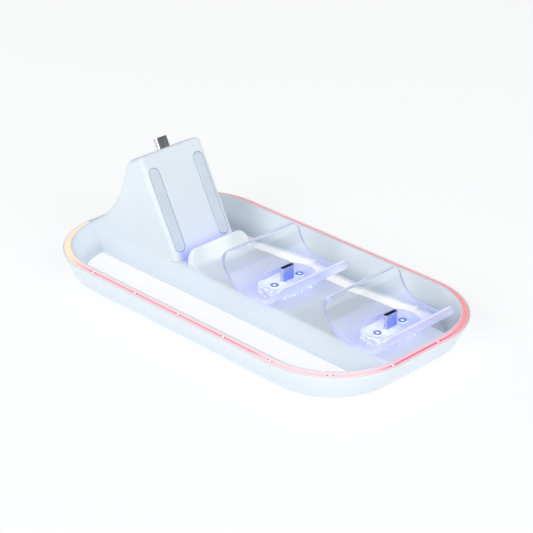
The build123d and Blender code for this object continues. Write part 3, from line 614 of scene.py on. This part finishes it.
# white studio floor that carries its own light, so shadows stay faint; it has a soft shade at the ends of
# the far slot and a fainter one under the wall beside it
floorLook = {"side": 6.0, "colour": (0.36, 0.365, 0.37), "deepen": 0.98, "patch": 0.4,
             "glow": (1.0, 1.0, 1.0), "strength": 0.68,
             "shadeColour": (0.22, 0.26, 0.32), "shadeGlow": (0.34, 0.40, 0.49), "underWall": 0.5,
             "left": (-66 * mm, -40 * mm), "right": (62 * mm, 79 * mm),
             "farSlot": (14 * mm, 24 * mm), "core": {"X": 66.6 * mm, "Y": 19.3 * mm},
             "footInner": (26 * mm, 27.6 * mm), "footOuter": (29.5 * mm, 31.5 * mm),
             "grain": 2 * mm, "bump": 0.01 * mm, "rough": (0.8, 0.95)}


def slotShade(tree):
    place = splitVector(tree, objectPlace(tree))
    ends = addMath(tree, "MAXIMUM", rangeOf(tree, place["X"], *floorLook["left"], 1.0, 0.0),
                   rangeOf(tree, place["X"], *floorLook["right"], 0.0, 1.0))
    radius = oblongRadius(tree, place, floorLook["core"])  # the ring's foot is a rounded oblong
    under = rangeOf(tree, radius, *floorLook["footInner"], 0.0, floorLook["underWall"])
    within = rangeOf(tree, radius, *floorLook["footOuter"], 1.0, 0.0)
    farSide = rangeOf(tree, place["Y"], *floorLook["farSlot"], 0.0, 1.0)
    return multiplied(tree, within, farSide, addMath(tree, "MAXIMUM", under, ends))


def makeFloor():
    half = floorLook["side"] / 2
    corners = [(-half, -half, 0), (half, -half, 0), (half, half, 0), (-half, half, 0)]
    data = bpy.data.meshes.new("studioFloor")
    data.from_pydata(corners, [], [(0, 1, 2, 3)])
    floor = bpy.data.objects.new("studioFloor", data)
    bpy.context.scene.collection.objects.link(floor)
    finish, tree, shader = newFinish("floorPaper", Emission_Strength=floorLook["strength"],
                                     Specular_IOR_Level=0.0)
    deeper = tuple(c * floorLook["deepen"] for c in floorLook["colour"])
    addMottle(tree, shader, floorLook["patch"], floorLook["colour"], deeper)
    addGrain(tree, shader, floorLook)
    shade = slotShade(tree)
    paper = shader.inputs["Base Color"].links[0].from_socket
    tree.links.new(mixColours(tree, shade, paper, floorLook["shadeColour"]), shader.inputs["Base Color"])
    glow = mixColours(tree, shade, floorLook["glow"], floorLook["shadeGlow"])
    tree.links.new(glow, shader.inputs["Emission Color"])
    data.materials.append(finish)


makeFloor()


# soft room, brighter in front and high at the back, with a small dark flag for the metal to mirror,
# and three soft boxes
room = {"front": (0.70, -0.70, 0.0), "frontLight": (0.42, 0.43, 0.44), "frontSpread": (-1.0, 1.0),
        "backLight": (0.22, 0.24, 0.26),
        "high": (0.45, 0.45, 0.77), "highLight": (0.86, 0.87, 0.88), "highSpread": (0.45, 1.0),
        "flagSide": (0.73, 0.63, 0.27), "flag": (0.10, 0.105, 0.11), "flagSpread": (0.91, 0.98),
        "strength": 1.0}
softBoxes = {"softFront": {"place": (0.3, -1.6, 0.9), "size": 0.9, "watts": 12.5},
             "softLeft": {"place": (-1.5, -0.8, 0.6), "size": 0.8, "watts": 4.0},
             "softRight": {"place": (1.7, -0.2, 0.95), "size": 1.0, "watts": 10.0}}
lightAim = (0.0, 0.0, 0.02)


def sideMask(tree, looking, side, spread):
    towards = addNode(tree, "ShaderNodeVectorMath", operation="DOT_PRODUCT")
    towards.inputs[1].default_value = Vector(side).normalized()
    tree.links.new(looking, towards.inputs[0])
    return rangeOf(tree, towards.outputs["Value"], *spread, 0.0, 1.0)


def makeRoom():
    world = bpy.data.worlds.new("softRoom")
    world.use_nodes = True
    tree = world.node_tree
    background = tree.nodes["Background"]
    background.inputs["Strength"].default_value = room["strength"]
    looking = addNode(tree, "ShaderNodeTexCoord").outputs["Generated"]
    light = room["backLight"]
    for side, spread, colour in (("front", "frontSpread", "frontLight"), ("high", "highSpread", "highLight"),
                                 ("flagSide", "flagSpread", "flag")):
        light = mixColours(tree, sideMask(tree, looking, room[side], room[spread]), light, room[colour])
    tree.links.new(light, background.inputs["Color"])
    bpy.context.scene.world = world


def makeSoftBox(name, look):
    data = bpy.data.lights.new(name, "AREA")
    data.size = look["size"]
    data.energy = look["watts"]
    lamp = bpy.data.objects.new(name, data)
    lamp.location = look["place"]
    lamp.rotation_euler = (Vector(lightAim) - lamp.location).to_track_quat("-Z", "Y").to_euler()
    bpy.context.scene.collection.objects.link(lamp)


makeRoom()
for name, look in softBoxes.items():
    makeSoftBox(name, look)
print("floor and light set")


# camera at the photo's angle
view = {"eye": (588.66 * mm, -579.00 * mm, 438.23 * mm), "azimuth": 45.248, "elevation": 26.910,
        "focalPixels": 1898.7, "framePixels": 533, "sensor": 36.0}


def makeCamera():
    data = bpy.data.cameras.new("photoCamera")
    data.sensor_width = view["sensor"]
    data.lens = view["sensor"] * view["focalPixels"] / view["framePixels"]
    camera = bpy.data.objects.new("photoCamera", data)
    turn, tilt = math.radians(view["azimuth"]), math.radians(view["elevation"])
    back = Vector((math.sin(turn) * math.cos(tilt), -math.cos(turn) * math.cos(tilt), math.sin(tilt)))
    camera.location = view["eye"]
    camera.rotation_euler = (-back).to_track_quat("-Z", "Y").to_euler()
    bpy.context.scene.collection.objects.link(camera)
    bpy.context.scene.camera = camera


makeCamera()
bpy.context.scene.view_settings.view_transform = "Standard"
print("camera set")
